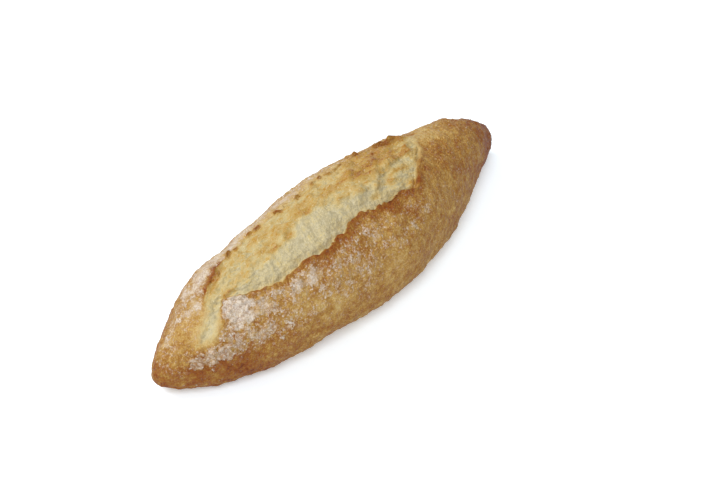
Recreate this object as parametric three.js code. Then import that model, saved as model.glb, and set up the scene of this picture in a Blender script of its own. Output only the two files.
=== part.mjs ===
// Mini baguette: one baked loaf, torn open along its top where the dough was slashed.
// Millimetres, +Z up. X runs along the loaf, +Y is its back, and the origin is the middle of its
// footprint on the table.

import * as THREE from "three";
import { mergeVertices } from "three/addons/utils/BufferGeometryUtils.js";

const { clamp, degToRad, lerp, smoothstep } = THREE.MathUtils;

// Body: a spindle with blunt tips that curl up and lie back a little
const length = 162;
const width = 50.5;
const height = 35.9;
const widestX = 6;
const bow = 5.9;
const waistShare = 0.42; // where a section is widest, as a share of its height
const roofPower = 2.1; // superellipse powers of a section, above and below that place
const solePower = 2.9;
const soleSink = 1.2; // how much of the round underside the oven tray pressed flat
const liftPower = 4;
const hookPower = 7; // how late towards its tip the body turns forward again
const nearTip = {
  narrowing: 0.64, lowering: 0.445, taper: 2.15, bluntness: 8.3, lift: 2.9, curl: 4.2, hook: 0,
};
const farTip = {
  narrowing: 0.8, lowering: 0.43, taper: 1.45, bluntness: 7, lift: 3.1, curl: 1.7, hook: 2.2,
};

// Uneven rise of the dough: long low swells round the body, and fuller and leaner places
const swells = [
  { rise: 0.16, alongWave: 53, turns: 2, phase: 0.6 },
  { rise: 0.12, alongWave: 31, turns: -3, phase: 2.1 },
];
const bulges = [
  { rise: 1.6, x: -50, reach: 12, angle: degToRad(48), spread: degToRad(26) },
  { rise: -1.4, x: -67, reach: 8, angle: degToRad(42), spread: degToRad(30) },
  { rise: -1, x: 46, reach: 7, angle: degToRad(55), spread: degToRad(24) },
  { rise: 0.8, x: 62, reach: 8, angle: degToRad(58), spread: degToRad(26) },
  { rise: -0.9, x: 57, reach: 11, angle: degToRad(185), spread: degToRad(32) },
  { rise: 0.7, x: 33, reach: 11, angle: degToRad(202), spread: degToRad(28) },
  { rise: -0.8, x: -26, reach: 16, angle: degToRad(211), spread: degToRad(26) },
];

// Slash: its two lips, as places [x, y] seen from above, and how raggedly they tore
const frontLip = curveThrough([
  [-74, -2.2], [-69, -3.3], [-65, -4.9], [-61.5, -4.5], [-57.5, -1.2], [-55, 0], [-50, -3], [-44, -6.5],
  [-38, -9], [-31, -9.5], [-26, -9.6], [-20, -11.4], [-14.5, -10.7], [-8.5, -10.6], [-3, -9.5], [3, -10.4],
  [9, -11.6], [14.5, -10.9], [20, -11.4], [24.7, -11.8], [28.6, -8.8], [31, -6.6], [37, -3], [41, 1.2],
  [44.7, 7],
]);
const backLip = curveThrough([
  [-74, -2.2], [-69, -1.8], [-65, -0.4], [-61, 2.3], [-57.5, 6.2], [-52, 7.9], [-45.5, 10.4], [-40, 12],
  [-36, 12.2], [-29, 13.7], [-24, 13], [-16, 12.2], [-7, 12.5], [2, 13.2], [8, 12.6], [15, 13.6], [23, 13.6],
  [31, 11.8], [37, 9.6], [41.5, 8.2], [44.7, 7],
]);
const slashEnds = { near: -74, far: 44.7 };
const fullGape = 24;
const raggedWaves = [
  { depth: 0.15, rate: 0.91, phase: 1 },
  { depth: 0.15, rate: 1.63, phase: 2.6 },
];

// Lips: the front one is the raised ear, the back one stands up in a few flakes
const earRise = 1.1;
const earReach = 4.5;
const backRise = 0.45;
const backReach = 2.2;
const lipWall = 0.8;
// Where the slash runs out, its lips lie lower and their walls are softer
const runOut = { nearStart: -64, nearEnd: -55, farStart: 38, farEnd: 44, rise: 0.35, wall: 2.2 };
const backFlakes = [
  { x: -50, rise: 1.5, reach: 6.5 },
  { x: -37, rise: 0.8, reach: 2.6 },
  { x: -25, rise: 0.9, reach: 3 },
  { x: -16, rise: 0.7, reach: 2.4 },
  { x: -6, rise: 0.6, reach: 2.4 },
  { x: 9, rise: 0.7, reach: 3 },
  { x: 24, rise: 0.8, reach: 1.8 },
  { x: 31, rise: 1.3, reach: 2.6 },
  { x: 36.5, rise: 1.5, reach: 2.8 },
];

// Crumb: a low lumpy dome between the lips, with torn steps in its far half
const crumbRise = 0.9;
const frontDrop = 2.2;
const frontDropReach = 3;
const backDrop = 0.9;
const backDropReach = 1.6;
const furrowDrop = 0.9;
const tears = [
  {
    line: curveThrough([
      [-2, -4.8], [4, -4.4], [11, -3.2], [16, -2.4], [21, -0.6], [26.7, 1.3], [31, 0.6], [35, -2.4],
    ]),
    drop: 1.1, wall: 1.3, start: 0, end: 31, fade: 5,
  },
  {
    line: curveThrough([[13, -2.9], [19.6, -4], [23.1, -5.4], [27, -7.4]]),
    drop: 0.7, wall: 1.2, start: 12, end: 23, fade: 4,
  },
];
const crumbLumps = [
  { rise: 0.2, alongRate: 0.31, acrossRate: 0.55, phase: 0.4 },
  { rise: 0.16, alongRate: 0.72, acrossRate: -0.38, phase: 1.9 },
];

// Grid over the body: columns on the back crust, the crumb and the front crust, and rows along it
const backColumns = 16;
const crumbColumns = 16;
const frontColumns = 18;
const around = backColumns + crumbColumns + frontColumns;
const rows = 104;
const tipCrowding = 0.6; // how strongly the rows crowd towards the tips
const crustCrowding = 1.2; // how strongly the crust's columns crowd towards the lips
const restAngles = { back: degToRad(66), front: degToRad(112) }; // lip columns where there is no slash
const lipFollow = { nearStart: -74, nearFull: -65, farFull: 38, farEnd: 46 };
const lipLimit = 0.9; // the furthest a lip column lies from the middle, as a share of the half width
const slopeStep = 0.5; // half the length of edge over which its slope is taken
const crustStretch = 1.25; // the most that a slanting edge shortens the distances on the crust

// A function of x whose graph is a smooth curve through the places given
function curveThrough(places) {
  const xs = places.map(([x]) => x);
  const ys = places.map(([, y]) => y);
  const curve = new THREE.CubicInterpolant(xs, ys, 1);
  return (x) => curve.evaluate(x)[0];
}

function sumOf(list, term) {
  return list.reduce((sum, item) => sum + term(item), 0);
}

// The plain section of the body at x
function sectionAt(x) {
  const tip = x > widestX ? farTip : nearTip;
  const reach = x > widestX ? length / 2 - widestX : length / 2 + widestX;
  const towardsTip = Math.min(Math.abs(x - widestX) / reach, 1);
  const cap = Math.sqrt(1 - towardsTip ** tip.bluntness);
  const tall = height * (1 - tip.lowering * towardsTip ** tip.taper) * cap;
  const along = (2 * x) / length;
  const lift = (x > 0 ? farTip : nearTip).lift * Math.abs(along) ** liftPower + tip.curl * (1 - cap);
  return {
    cap,
    centreY: bow * along * along - tip.hook * towardsTip ** hookPower,
    halfWidth: (width / 2) * (1 - tip.narrowing * towardsTip ** tip.taper) * cap,
    waist: lift + waistShare * tall,
    roof: (1 - waistShare) * tall,
    sole: waistShare * tall + soleSink * cap,
  };
}

// The place and the outward direction at an angle round a section: 0 is the back, 90 degrees the top
function sectionPlace(section, angle) {
  const across = Math.cos(angle);
  const up = Math.sin(angle);
  const power = up > 0 ? roofPower : solePower;
  const tall = up > 0 ? section.roof : section.sole;
  const bend = (value, exponent) => Math.sign(value) * Math.abs(value) ** exponent;
  const outward = new THREE.Vector2(
    bend(across, 2 - 2 / power) * tall,
    bend(up, 2 - 2 / power) * section.halfWidth,
  ).normalize();
  return {
    y: section.centreY + section.halfWidth * bend(across, 2 / power),
    z: section.waist + tall * bend(up, 2 / power),
    outward,
  };
}

// The angle round a section of the place on its roof that lies at y
function roofAngle(section, y) {
  const share = clamp((y - section.centreY) / section.halfWidth, -lipLimit, lipLimit);
  return Math.acos(Math.sign(share) * Math.abs(share) ** (roofPower / 2));
}

// How far a torn edge wanders from its line
function raggedAt(x) {
  return sumOf(raggedWaves, (wave) => wave.depth * Math.sin(wave.rate * x + wave.phase));
}

function frontEdge(x) {
  return frontLip(x) + raggedAt(x);
}

function backEdge(x) {
  return backLip(x) - raggedAt(-x);
}

// The distance from an edge, given the gap to it along y: positive on the crumb, negative on the crust
function edgeDistance(edge, x, gap) {
  const slope = (edge(x + slopeStep) - edge(x - slopeStep)) / (2 * slopeStep);
  const stretch = Math.hypot(1, slope);
  return gap / (gap > 0 ? stretch : Math.min(stretch, crustStretch));
}

// How far the back lip stands up at x
function backLipRise(x) {
  const flakes = backFlakes.map((flake) => flake.rise * Math.exp(-(((x - flake.x) / flake.reach) ** 4)));
  return Math.max(backRise, ...flakes);
}

// Height of the torn crumb against the round body, between the lips
function crumbRelief(x, y, fromFront, fromBack) {
  const gape = Math.min((fromFront + fromBack) / fullGape, 1);
  const across = fromFront / (fromFront + fromBack);
  const dome = crumbRise * 4 * across * (1 - across);
  const frontValley = frontDrop * Math.exp(-fromFront / frontDropReach);
  const backValley = backDrop * Math.exp(-fromBack / backDropReach);
  const steps = sumOf(tears, (tear) => {
    const starts = smoothstep(x, tear.start, tear.start + tear.fade);
    const ends = smoothstep(x, tear.end, tear.end + tear.fade);
    return tear.drop * (starts - ends) * smoothstep(tear.line(x) - y, 0, tear.wall);
  });
  const lumps = sumOf(
    crumbLumps,
    (lump) => lump.rise * Math.sin(lump.alongRate * x + lump.acrossRate * y + lump.phase),
  );
  return gape * (dome - frontValley - backValley - steps + lumps) - furrowDrop * (1 - gape);
}

// Height of the baked surface against the round body, at a place on the roof
function roofRelief(x, y) {
  const fromFront = edgeDistance(frontEdge, x, y - frontEdge(x));
  const fromBack = edgeDistance(backEdge, x, backEdge(x) - y);
  const inside = Math.min(fromFront, fromBack);
  const byFront = fromFront < fromBack;
  const pastEnds = Math.max(slashEnds.near - x, x - slashEnds.far, 0);
  const opened =
    smoothstep(x, runOut.nearStart, runOut.nearEnd) - smoothstep(x, runOut.farStart, runOut.farEnd);
  const fullRise = byFront ? earRise : backLipRise(x);
  const lipRise = fullRise * lerp(runOut.rise, 1, opened) * Math.exp(-pastEnds / backReach);
  const crust = lipRise * Math.exp(Math.min(inside, 0) / (byFront ? earReach : backReach));
  if (inside <= 0 || pastEnds > 0) return crust;
  const wall = lerp(runOut.wall, lipWall, opened);
  return lerp(crust, crumbRelief(x, y, fromFront, fromBack), smoothstep(inside, 0, wall));
}

// How far the risen dough stands out from the plain section
function swellAt(x, angle) {
  const turn = 2 * Math.PI;
  const waves = sumOf(
    swells,
    (swell) => swell.rise * Math.sin((turn * x) / swell.alongWave + swell.turns * angle + swell.phase),
  );
  const places = sumOf(bulges, (bulge) => {
    const offX = (x - bulge.x) / bulge.reach;
    const offAngle = (angle - bulge.angle) / bulge.spread;
    return bulge.rise * Math.exp(-offX * offX - offAngle * offAngle);
  });
  return waves + places;
}

// Angle of a column of the grid: the columns follow the lips wherever the slash is open
function columnAngle(section, x, column) {
  const opens = smoothstep(x, lipFollow.nearStart, lipFollow.nearFull);
  const closes = smoothstep(x, lipFollow.farFull, lipFollow.farEnd);
  const back = lerp(restAngles.back, roofAngle(section, backEdge(x)), opens - closes);
  const front = lerp(restAngles.front, roofAngle(section, frontEdge(x)), opens - closes);
  if (column <= backColumns) {
    return lerp(back, -Math.PI / 2, (1 - column / backColumns) ** crustCrowding);
  }
  if (column <= backColumns + crumbColumns) {
    const share = (column - backColumns) / crumbColumns;
    return lerp(back, front, (1 - Math.cos(Math.PI * share)) / 2);
  }
  const share = (column - backColumns - crumbColumns) / frontColumns;
  return lerp(front, 1.5 * Math.PI, share ** crustCrowding);
}

// A vertex of the loaf: rows run from the far tip to the near one, columns from the sole up the back
function loafVertex(row, column) {
  const share = row / rows;
  const along = lerp(1 - 2 * share, Math.cos(Math.PI * share), tipCrowding);
  const x = (along * length) / 2;
  const section = sectionAt(x);
  const angle = columnAngle(section, x, column);
  const plain = sectionPlace(section, angle);
  const onRoof = Math.sin(angle) > 0 ? roofRelief(x, plain.y) : 0;
  const relief = (onRoof + swellAt(x, angle)) * section.cap;
  const y = plain.y + plain.outward.x * relief;
  const z = plain.z + plain.outward.y * relief;
  return new THREE.Vector3(x, y, Math.max(z, 0));
}

// The loaf: a sphere's closed grid drawn out over the body, then set on the middle of its footprint
function loafGeometry() {
  const grid = new THREE.SphereGeometry(1, around, rows);
  const position = grid.getAttribute("position");
  for (let i = 0; i < position.count; i += 1) {
    const row = Math.floor(i / (around + 1));
    const column = (i % (around + 1)) % around;
    position.setXYZ(i, ...loafVertex(row, column).toArray());
  }
  grid.deleteAttribute("normal");
  grid.deleteAttribute("uv");
  const loaf = mergeVertices(grid);
  loaf.computeBoundingBox();
  const middle = loaf.boundingBox.getCenter(new THREE.Vector3());
  loaf.translate(-middle.x, -middle.y, -loaf.boundingBox.min.z);
  loaf.computeVertexNormals();
  return loaf;
}

const crust = new THREE.MeshStandardMaterial({ color: 0xb88a50, roughness: 0.85, metalness: 0 });
const loaf = new THREE.Mesh(loafGeometry(), crust);
loaf.name = "loaf";

const baguette = new THREE.Group();
baguette.add(loaf);

export default baguette;
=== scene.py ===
import math
import bpy
import numpy as np
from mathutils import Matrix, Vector, noise


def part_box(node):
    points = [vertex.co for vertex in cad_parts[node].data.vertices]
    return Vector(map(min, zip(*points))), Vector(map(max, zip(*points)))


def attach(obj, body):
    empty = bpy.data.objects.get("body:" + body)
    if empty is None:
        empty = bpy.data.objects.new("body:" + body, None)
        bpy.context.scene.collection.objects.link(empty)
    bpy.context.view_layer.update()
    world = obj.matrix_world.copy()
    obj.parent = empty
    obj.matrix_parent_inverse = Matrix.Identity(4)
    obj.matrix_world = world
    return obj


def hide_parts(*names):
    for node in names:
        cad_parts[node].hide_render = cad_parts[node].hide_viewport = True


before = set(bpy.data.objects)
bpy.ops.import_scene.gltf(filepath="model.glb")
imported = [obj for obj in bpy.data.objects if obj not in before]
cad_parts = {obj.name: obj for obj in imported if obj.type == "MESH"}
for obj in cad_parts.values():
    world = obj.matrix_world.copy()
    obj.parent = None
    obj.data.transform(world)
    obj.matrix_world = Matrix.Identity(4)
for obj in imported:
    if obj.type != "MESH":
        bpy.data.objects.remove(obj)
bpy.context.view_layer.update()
mm = 0.001
loafLow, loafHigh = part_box("loaf")
loafSize = (loafHigh - loafLow) / mm
print("frame: loaf of %.0f x %.0f x %.0f mm" % tuple(loafSize))


# small tools for shaping, all in mm

def smooth(value, start, end):
    share = np.clip((value - start) / (end - start), 0, 1)
    return share * share * (3 - 2 * share)


def mix(a, b, share):
    return a + (b - a) * share


def hump(value, centre, reach):
    return np.exp(-(((value - centre) / reach) ** 2))


# a smooth curve through places (x, y), level at its ends
def curveThrough(places):
    xs, ys = np.array(places, float).T
    secants = np.diff(ys) / np.diff(xs)
    slopes = np.concatenate(([0], (secants[1:] + secants[:-1]) / 2, [0]))

    def curve(x):
        x = np.clip(x, xs[0], xs[-1])
        i = np.clip(np.searchsorted(xs, x, "right") - 1, 0, len(xs) - 2)
        step = xs[i + 1] - xs[i]
        t = (x - xs[i]) / step
        start = (1 + 2 * t) * (1 - t) ** 2 * ys[i] + t * (1 - t) ** 2 * step * slopes[i]
        end = t * t * (3 - 2 * t) * ys[i + 1] - t * t * (1 - t) * step * slopes[i + 1]
        return start + end

    return curve


# uneven lumps of about this size, with a spread of 1 around 0
def lumpsAt(points, size, octaves=3, seed=0):
    shift = Vector((7.3 * seed, 3.1 * seed, 11.7 * seed))
    spots = (points / np.array(size, float)).reshape(-1, 3).tolist()
    values = np.array([noise.fractal(Vector(p) + shift, 1.0, 2.0, octaves) for p in spots])
    return (values / values.std()).reshape(points.shape[:-1])


# sharp creases between puffed places of about this size, with a spread of 1 around 0
def creasesAt(points, size, octaves=2, seed=0):
    shift = Vector((5.1 * seed, 9.7 * seed, 2.3 * seed))
    spots = (points / np.array(size, float)).reshape(-1, 3).tolist()
    values = [noise.ridged_multi_fractal(Vector(p) + shift, 0.9, 2.1, octaves, 1, 2) for p in spots]
    values = np.array(values)
    return ((values.mean() - values) / values.std()).reshape(points.shape[:-1])


# the wander of a torn edge along x
def wander(x, size, seed):
    return lumpsAt(np.stack([x, 0 * x, 0 * x], -1), size, 2, seed)


# a change at a place seen from above, fading out around it
def spotChange(places, spot):
    x, y, reachAlong, reachAcross, change = spot
    return change * hump(places[..., 0], x, reachAlong) * hump(places[..., 1], y, reachAcross)


# a value that changes once along the loaf: before, after, and where the change starts and ends
def alongLoaf(x, change):
    before, after, start, end = change
    return mix(before, after, smooth(x, start, end))


# 1 on a stretch of the loaf and 0 off it: where it starts, is full, starts to fade and ends
def stretchAt(x, stretch):
    start, full, fading, end = stretch
    return smooth(x, start, full) - smooth(x, fading, end)


# body: a spindle with blunt tips that curl up and lie back a little
body = {
    "width": 0.994 * loafSize.y,  # the swells take the rest
    "height": 0.981 * loafSize.z,  # and so does the raised lip
    "widestX": 6,
    "bow": 5.9,
    "waist": 0.42,  # where a section is widest, as a share of its height
    "roofPower": 2.1,
    "solePower": 2.9,
    "soleSink": 1.2,  # how much of the round underside the tray pressed flat
    "flatSole": (0.2, 2),  # heights between which the fine relief sets in
    "liftPower": 4,  # how late towards the tips they lift, and hook forward
    "hookPower": 7,
    "nearTip": {
        "narrow": 0.64, "low": 0.445, "taper": 2.15, "blunt": 8.3, "lift": 2.9, "curl": 4.2, "hook": 0,
    },
    "farTip": {
        "narrow": 0.8, "low": 0.43, "taper": 1.45, "blunt": 7, "lift": 3.1, "curl": 1.7, "hook": 2.2,
    },
    # long low swells of the dough: rise, wave along, turns round the body, phase
    "swells": [(0.16, 53, 2, 0.6), (0.12, 31, -3, 2.1)],
    # fuller and leaner places: rise, x, reach, angle, spread
    "bulges": [
        (1.6, -50, 12, 48, 26), (-1.4, -67, 8, 42, 30), (-1, 46, 7, 55, 24), (0.8, 62, 8, 58, 26),
        (-0.9, 57, 11, 185, 32), (0.7, 33, 11, 202, 28), (-0.8, -26, 16, 211, 26),
    ],
    "rows": 436,
    "tipRows": 0.6,  # how far the rows crowd towards the tips
    "backColumns": 58,
    "crumbColumns": 74,
    "frontColumns": 94,
    "columnCrowding": 1.25,  # how far the columns of the crust crowd towards the lips
    "crumbCrowding": 0.5,  # and those of the crumb
    "follow": (-74, -65, 38, 46),  # stretch where the columns follow the lips
    "plainAngles": (66, 112),  # where they lie past that, behind and in front
    # the smooth flank behind the furrow: x, y, reach along, reach across, share
    "nearFlank": (-73, 5, 11, 8, 1),
    "flankEdge": (-5, 3),
}


def sectionAt(x):
    isFar = x > body["widestX"]
    near, far = body["nearTip"], body["farTip"]
    tip = {key: np.where(isFar, far[key], near[key]) for key in near}
    reach = loafSize.x / 2 + np.where(isFar, -1, 1) * body["widestX"]
    t = np.minimum(np.abs(x - body["widestX"]) / reach, 1)
    cap = np.sqrt(1 - t ** tip["blunt"])
    tall = body["height"] * (1 - tip["low"] * t ** tip["taper"]) * cap
    along = 2 * x / loafSize.x
    lift = np.where(x > 0, far["lift"], near["lift"]) * along ** body["liftPower"]
    lift = lift + tip["curl"] * (1 - cap)
    return {
        "cap": cap,
        "centre": body["bow"] * along ** 2 - tip["hook"] * t ** body["hookPower"],
        "half": body["width"] / 2 * (1 - tip["narrow"] * t ** tip["taper"]) * cap,
        "waist": lift + body["waist"] * tall,
        "roof": (1 - body["waist"]) * tall,
        "sole": body["waist"] * tall + body["soleSink"] * cap,
    }


def bend(value, power):
    return np.sign(value) * np.abs(value) ** power


# place on the plain body at an angle round it: 0 is the back, 90 degrees the top, 180 the front
def bodyPlace(section, angle):
    across, up = np.cos(angle), np.sin(angle)
    power = np.where(up > 0, body["roofPower"], body["solePower"])
    tall = np.where(up > 0, section["roof"], section["sole"])
    y = section["centre"] + section["half"] * bend(across, 2 / power)
    z = section["waist"] + tall * bend(up, 2 / power)
    outY = bend(across, 2 - 2 / power) * tall
    outZ = bend(up, 2 - 2 / power) * section["half"]
    long = np.maximum(np.hypot(outY, outZ), 1e-9)
    return y, z, outY / long, outZ / long


def roofAngle(section, y):
    share = np.clip((y - section["centre"]) / np.maximum(section["half"], 1e-9), -0.9, 0.9)
    return np.arccos(bend(share, body["roofPower"] / 2))


def swellAt(x, angle):
    rise = 0
    for height, wave, turns, phase in body["swells"]:
        rise = rise + height * np.sin(2 * np.pi * x / wave + turns * angle + phase)
    for height, place, reach, turn, spread in body["bulges"]:
        rise = rise + height * hump(x, place, reach) * hump(np.degrees(angle), turn, spread)
    return rise


# slash: its lips as places (x, y) seen from above, and how raggedly they tore
slash = {
    "frontLip": curveThrough([
        (-74, -2.2), (-69, -3.3), (-65, -4.9), (-61.5, -4.5), (-57.5, -1.2), (-55, 0), (-50, -3),
        (-44, -6.5), (-38, -9), (-31, -9.5), (-26, -9.6), (-20, -11.4), (-14.5, -10.7), (-8.5, -10.6),
        (-3, -9.5), (3, -10.4), (9, -11.6), (14.5, -10.9), (20, -11.4), (24.7, -11.8), (28.6, -8.8),
        (31, -6.6), (37, -3), (41, 1.2), (44.7, 7),
    ]),
    "backLip": curveThrough([
        (-74, -2.2), (-69, -1.8), (-65, -0.4), (-61, 2.3), (-57.5, 6.2), (-52, 7.9), (-45.5, 10.4),
        (-40, 12), (-36, 12.2), (-29, 13.7), (-24, 13), (-16, 12.2), (-7, 12.5), (2, 13.2), (8, 12.6),
        (15, 13.6), (23, 13.6), (31, 11.8), (37, 9.6), (41.5, 8.2), (44.7, 7),
    ]),
    "ends": (-74, 44.7),
    "closes": (-72, -66),  # where the furrow at the near end closes over
    "furrow": (-62, -56),  # where it widens into the slash
    "gape": 24,
    "waves": [(0.15, 0.91, 1), (0.15, 1.63, 2.6)],
    "teeth": (0.08, 0.3),  # fine tear of the edges, at the ends and in the middle
    "toothed": (-26, -12, 10, 20),
    # how each edge tears, in long waves and in short ones here and there: amount, size, seed
    "frontTear": {"long": (0.8, 4.3, 1), "short": (1.4, 1.3, 2), "patches": (7, 7)},
    "backTear": {"long": (1, 3.7, 3), "short": (1, 1.4, 4), "patches": (6, 8)},
    "earRise": 1.1,
    "earUneven": (0.18, 6),  # by this share, in waves of this size
    "earReach": 4.5,
    "backRise": 0.45,
    "backReach": 2.2,
    "wall": 0.7,
    "flapWall": (-50.5, 6.5),  # where the wall of the near flap faces the front: x and reach
    "flapLean": 1.1,
    "crustStretch": 1.25,  # the most that a slanting edge counts on the crust
    "crumbEdge": (0.05, 0.5),  # from where to where the crust turns into crumb
    "opened": (-64, -55, 33, 43),  # stretch where it gapes
    # past that it runs out with low lips, soft walls and soft edges
    "runOut": {"rise": 0.3, "wall": 2.6, "nearSoft": 2, "farSoft": (0, 1.7, 29, 38)},
    # flakes along the back lip: x, rise, reach
    "flakes": [
        (-50, 1.5, 6.5), (-40, 0.9, 1.8), (-36.6, 0.8, 1.6), (-29, 0.8, 1.7), (-25.3, 0.9, 1.7),
        (-16.8, 0.9, 1.9), (-7.3, 0.85, 2), (0.3, 0.8, 1.2), (4.1, 0.9, 1.3), (7.3, 0.8, 1.4),
        (22.5, 1.8, 1.1), (31.8, 1.9, 2.4), (38.8, 3.7, 4.2),
    ],
    "flaky": (0.5, 0.9),  # rises from which a lip counts as a flake
    "flakeUneven": (0.25, 0.06, 28, 34),  # the long flake at the far end is smoother
    "flakeWave": 2.4,
}


def raggedAt(x):
    return sum(depth * np.sin(rate * x + phase) for depth, rate, phase in slash["waves"])


def frontLine(x):
    return slash["frontLip"](x) + raggedAt(x)


def backLine(x):
    return slash["backLip"](x) - raggedAt(-x)


# distance from an edge, positive on the crumb and negative on the crust
def edgeDistance(gap, line, x):
    slope = line(x + 0.5) - line(x - 0.5)
    stretch = np.hypot(1, slope)
    return gap / np.where(gap > 0, stretch, np.minimum(stretch, slash["crustStretch"]))


def backLipRise(x):
    rise = np.full_like(x, slash["backRise"])
    for place, height, reach in slash["flakes"]:
        rise = np.maximum(rise, height * np.exp(-(((x - place) / reach) ** 4)))
    return rise


# 1 where the back lip stands up in a flake, 0 where it lies low
def flakyAt(x):
    return smooth(backLipRise(x), *slash["flaky"])


# 1 where the slash gapes, 0 where it runs out
def openedAt(x):
    return stretchAt(x, slash["opened"])


# 1 where the wall of the near flap faces the front, 0 away from it
def flapWallAt(x):
    return hump(x, *slash["flapWall"])


# 1 in the narrow furrow at the near end, 0 where the slash is wide
def furrowAt(x):
    return 1 - smooth(x, *slash["furrow"])


# 1 where the crumb shows, 0 where the furrow closed over
def bareCrumbAt(x):
    return smooth(x, *slash["closes"])


# fine tear of an edge: long waves, and short ones here and there
def tearOf(x, tear):
    long, short = (amount * wander(x, size, seed) for amount, size, seed in (tear["long"], tear["short"]))
    return long + short * np.abs(wander(x, *tear["patches"]))


# y of both edges at the rows, with their fine teeth
def tornEdges(x):
    teeth = mix(*slash["teeth"], stretchAt(x, slash["toothed"])) * openedAt(x)
    front = frontLine(x) + teeth * tearOf(x, slash["frontTear"])
    back = backLine(x) + teeth * tearOf(x, slash["backTear"])
    return front, back


# how high the crust stands at the lips, dying away from them
def lipRelief(x, inside, byFront, pastEnds):
    rowX = x[:, 0]
    earShare, earWave = slash["earUneven"]
    earRise = slash["earRise"] * (1 + earShare * wander(rowX, earWave, 5))[:, None]
    uneven = alongLoaf(x, slash["flakeUneven"])
    flakeRise = backLipRise(x) * (1 + uneven * wander(rowX, slash["flakeWave"], 6)[:, None])
    rise = np.where(byFront, earRise, flakeRise) * mix(slash["runOut"]["rise"], 1, openedAt(x))
    rise = rise * np.exp(-pastEnds / slash["backReach"])
    reach = np.where(byFront, slash["earReach"], slash["backReach"])
    return rise * np.exp(np.minimum(inside, 0) / reach)


# crumb: a low lumpy dome between the lips, with torn steps in its far half
crumb = {
    "rise": 0.9,
    "frontDrop": (1.8, 3),  # the dip behind a lip: depth and reach
    "backDrop": (0.8, 1.6),
    "frontDropShare": (1, 0.6, 8, 22),  # shallower in the far part
    "lowBackDrop": 0.35,  # share of the back dip where no flake stands
    "furrow": 0.5,
    "tears": [
        {
            "line": curveThrough([
                (-2, -4.8), (4, -4.4), (11, -3.2), (16, -2.4), (21, -0.6), (26.7, 1.3), (31, 0.6),
                (35, -2.4),
            ]),
            "drop": 0.65, "wall": 1.9, "start": 0, "end": 31, "fade": 5,
        },
        {
            "line": curveThrough([(13, -2.9), (19.6, -4), (23.1, -5.4), (27, -7.4)]),
            "drop": 0.3, "wall": 1.7, "start": 12, "end": 23, "fade": 4,
        },
    ],
    "tornWander": (0.5, 3.5),  # how far the torn lines stray, in lumps of this size
    "lumps": [(0.2, 0.31, 0.55, 0.4), (0.16, 0.72, -0.38, 1.9)],
    "drawn": 0.58,  # how far the pale front is drawn into strands
    "drawnEnd": (10, 20),
    "lean": 0.3,  # how far the strands lean along x, for each mm across
    "strandWander": (0.7, 7),  # how far they stray, in lumps of this size
    "strandRise": 0.035,
    "strandSize": (1.1, 5, 1),
    "strandGrain": (0.7, 7),  # width and length of the strands in the finish
    "foldRise": 0.3,
    "foldSize": (8, 3.2, 3.2),
    "streakRise": 0.17,
    "streakSize": (2.8, 1.3, 1.6),
    "paleFolds": 0.36,  # share of the folds and streaks left on the pale front
    "clotRise": 0.2,
    "clotSize": 4.2,
    "grainRise": 0.06,
    "grainSize": 0.9,
    "reliefFrom": (0.2, 2.2),  # how far from the edges the fine relief starts and is full
    "creased": (4, 10, 25, 35),  # stretch of the crease under the golden skin
    "creaseDrop": 0.28,
    "creaseReach": 0.42,
    "creaseBelow": 0.6,  # how far it lies below the edge of the skin
    "creaseSize": 4,  # of its pieces
    "creaseGaps": (-1.2, 0),
}


# a tear's run along x, and how far down its wall a place lies
def tearAt(tear, x, y):
    starts = smooth(x, tear["start"], tear["start"] + tear["fade"])
    ends = smooth(x, tear["end"], tear["end"] + tear["fade"])
    return starts - ends, tear["line"](x) - y


def crumbRelief(x, y, tornY, fromFront, fromBack):
    span = np.maximum(fromFront + fromBack, 1e-6)
    gape = np.clip(span / slash["gape"], 0, 1)
    across = np.clip(fromFront / span, 0, 1)
    dome = crumb["rise"] * 4 * across * (1 - across)
    drop, reach = crumb["frontDrop"]
    drop = drop * alongLoaf(x, crumb["frontDropShare"])
    frontValley = drop * np.exp(-np.maximum(fromFront, 0) / reach)
    drop, reach = crumb["backDrop"]
    drop = drop * mix(crumb["lowBackDrop"], 1, flakyAt(x))
    backValley = drop * np.exp(-np.maximum(fromBack, 0) / reach)
    steps = 0
    for tear in crumb["tears"]:
        runs, below = tearAt(tear, x, tornY)
        steps = steps + tear["drop"] * runs * smooth(below, 0, tear["wall"])
    lumps = sum(rise * np.sin(a * x + b * y + phase) for rise, a, b, phase in crumb["lumps"])
    return gape * (dome - frontValley - backValley - steps + lumps) - crumb["furrow"] * (1 - gape)


# angles of the columns: from the sole up the back, over the crumb and down the front
def columnAngles(section, x, frontEdge, backEdge):
    follows = stretchAt(x, body["follow"])
    plainBack, plainFront = np.radians(body["plainAngles"])
    back = mix(plainBack, roofAngle(section, backEdge), follows)
    front = mix(plainFront, roofAngle(section, frontEdge), follows)
    backShare = np.arange(body["backColumns"]) / body["backColumns"]
    crumbShare = np.arange(body["crumbColumns"]) / body["crumbColumns"]
    crumbShare = mix(crumbShare, (1 - np.cos(np.pi * crumbShare)) / 2, body["crumbCrowding"])
    frontShare = np.arange(body["frontColumns"]) / body["frontColumns"]
    return np.concatenate([
        mix(back, -np.pi / 2, (1 - backShare) ** body["columnCrowding"]),
        mix(back, front, crumbShare),
        mix(front, 1.5 * np.pi, frontShare ** body["columnCrowding"]),
    ], 1)


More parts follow.
